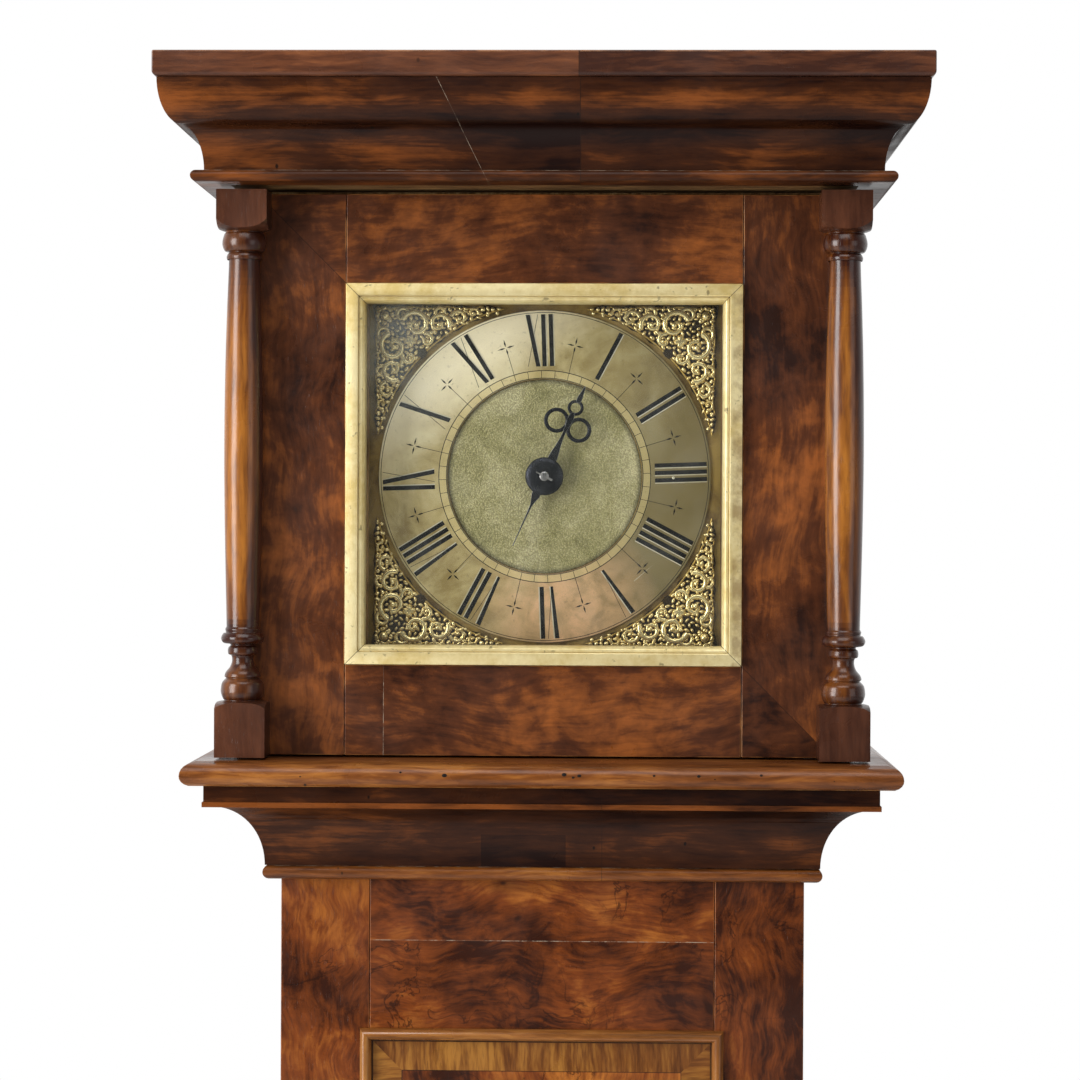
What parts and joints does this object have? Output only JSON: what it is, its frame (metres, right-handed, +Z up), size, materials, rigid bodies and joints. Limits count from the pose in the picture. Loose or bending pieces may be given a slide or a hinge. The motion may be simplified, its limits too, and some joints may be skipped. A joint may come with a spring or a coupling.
{
  "type": "longcase clock",
  "caption": "Longcase clock with a flat top and side columns on the hood, a square glazed dial, a long trunk door and a weight-driven pendulum movement.",
  "frame": {"origin": "on the floor, in the middle of the clock's outline", "axes": "+Z up, +Y to the wall behind, +X to the right as seen from the front"},
  "size_m": [0.53, 0.268, 1.99],
  "materials": {
    "walnut_veneer": "figured walnut veneer, french polished",
    "walnut_moulding": "dark walnut, waxed",
    "walnut_column": "honey walnut, polished",
    "oak": "plain oak, unpolished",
    "gilt": "pale gilt, worn",
    "glass": "clear old glass",
    "brass": "lacquered brass, tarnished",
    "silvered": "worn silvering over brass",
    "dark_steel": "blued steel, nearly black",
    "steel": "plain steel",
    "iron": "bare iron"
  },
  "bodies": {
    "case": {"backboard": "oak", "trunk_side_left": "oak", "trunk_side_right": "oak", "trunk_stile_left": "walnut_veneer", "trunk_stile_right": "walnut_veneer", "trunk_top_rail": "walnut_veneer", "trunk_bottom_rail": "walnut_veneer", "throat_moulding": "walnut_moulding", "base_side_left": "walnut_veneer", "base_side_right": "walnut_veneer", "base_front": "walnut_veneer", "base_moulding": "walnut_moulding", "skirting": "walnut_moulding", "seatboard": "oak", "trunk_hinge_lower": "brass", "trunk_hinge_upper": "brass", "movement_front_plate": "brass", "movement_back_plate": "brass", "back_cock": "brass", "bell": "brass", "bell_stand": "iron", "dial_plate": "brass", "chapter_ring": "silvered", "spandrel_top_left": "brass", "spandrel_top_right": "brass", "spandrel_bottom_left": "brass", "spandrel_bottom_right": "brass", "sprocket_chain": "steel", "weight_chain": "steel", "counterweight_chain": "steel"},
    "hood": {"hood_side_left": "walnut_veneer", "hood_side_right": "walnut_veneer", "hood_top_board": "walnut_moulding", "cornice_moulding": "walnut_moulding", "hood_base_moulding": "walnut_moulding", "dial_mask": "oak"},
    "hood_door": {"hood_door_stile_left": "walnut_veneer", "hood_door_stile_right": "walnut_veneer", "hood_door_bottom_rail": "walnut_veneer", "hood_door_top_rail": "walnut_veneer", "glazing_bezel": "gilt", "hood_door_glass": "glass", "hood_column_left": "walnut_column", "hood_column_right": "walnut_column"},
    "trunk_door": {"trunk_door_board": "walnut_veneer", "trunk_door_lip": "walnut_moulding", "trunk_door_lock": "brass"},
    "great_train": {"great_wheel": "brass", "chain_sprocket": "brass"},
    "second_train": {"second_wheel": "brass"},
    "escape_train": {"escape_wheel": "brass"},
    "hour_train": {"hour_wheel": "brass"},
    "hand": {"hour_hand": "dark_steel"},
    "pendulum": {"anchor": "steel", "pendulum_rod": "steel", "pendulum_bob": "brass", "rating_nut": "brass"},
    "drive_weight": {"weight": "iron"},
    "counter_weight": {"counterweight": "iron"},
    "strike": {"hammer": "steel"}
  },
  "joints": [
    {"name": "hood_slide", "type": "slide", "parent": "case", "child": "hood", "axis": [0, -1, 0], "range_m": [0, 0.26]},
    {"name": "hood_door_hinge", "type": "hinge", "parent": "hood", "child": "hood_door", "pos_m": [0.217, -0.04385, 1.704], "axis": [0, 0, 1], "range_deg": [0, 110]},
    {"name": "trunk_door_hinge", "type": "hinge", "parent": "case", "child": "trunk_door", "pos_m": [0.1313, -0.0563, 0.9475], "axis": [0, 0, 1], "range_deg": [0, 110]},
    {"name": "pendulum_swing", "type": "hinge", "parent": "case", "child": "pendulum", "pos_m": [-0.00003, 0.084, 1.76498], "axis": [0, 1, 0], "range_deg": [-2.5, 2.5]},
    {"name": "second_wheel_turn", "type": "hinge", "parent": "case", "child": "second_train", "pos_m": [0.02389, 0.021, 1.72483], "axis": [0, 1, 0], "continuous": true},
    {"name": "great_wheel_turn", "type": "hinge", "parent": "case", "child": "great_train", "pos_m": [0.03384, -0.004, 1.69013], "axis": [0, 1, 0], "continuous": true},
    {"name": "escape_wheel_turn", "type": "hinge", "parent": "case", "child": "escape_train", "pos_m": [-0.00003, 0.0277, 1.73798], "axis": [0, 1, 0], "continuous": true},
    {"name": "hour_wheel_turn", "type": "hinge", "parent": "case", "child": "hour_train", "pos_m": [0, -0.021, 1.7038], "axis": [0, 1, 0], "continuous": true},
    {"name": "hand_set", "type": "hinge", "parent": "hour_train", "child": "hand", "pos_m": [0, -0.042, 1.7038], "axis": [0, 1, 0], "continuous": true},
    {"name": "weight_fall", "type": "slide", "parent": "case", "child": "drive_weight", "axis": [0, 0, -1], "range_m": [-0.3, 0.6], "deforming": ["weight_chain"]},
    {"name": "counterweight_rise", "type": "slide", "parent": "case", "child": "counter_weight", "axis": [0, 0, 1], "range_m": [-0.3, 0.6], "deforming": ["counterweight_chain"]},
    {"name": "hammer_lift", "type": "hinge", "parent": "case", "child": "strike", "pos_m": [-0.05, 0.02, 1.7648], "axis": [0, -1, 0], "range_deg": [0, 12], "stiffness_Nm_per_rad": 0.05, "springref_deg": -5.73}
  ],
  "couplings": [
    {"joint": "great_wheel_turn", "follows": "second_wheel_turn", "ratio": -0.125},
    {"joint": "escape_wheel_turn", "follows": "second_wheel_turn", "ratio": -7.5},
    {"joint": "hour_wheel_turn", "follows": "second_wheel_turn", "ratio": 0.010417},
    {"joint": "counterweight_rise", "follows": "weight_fall", "ratio": 1}
  ]
}
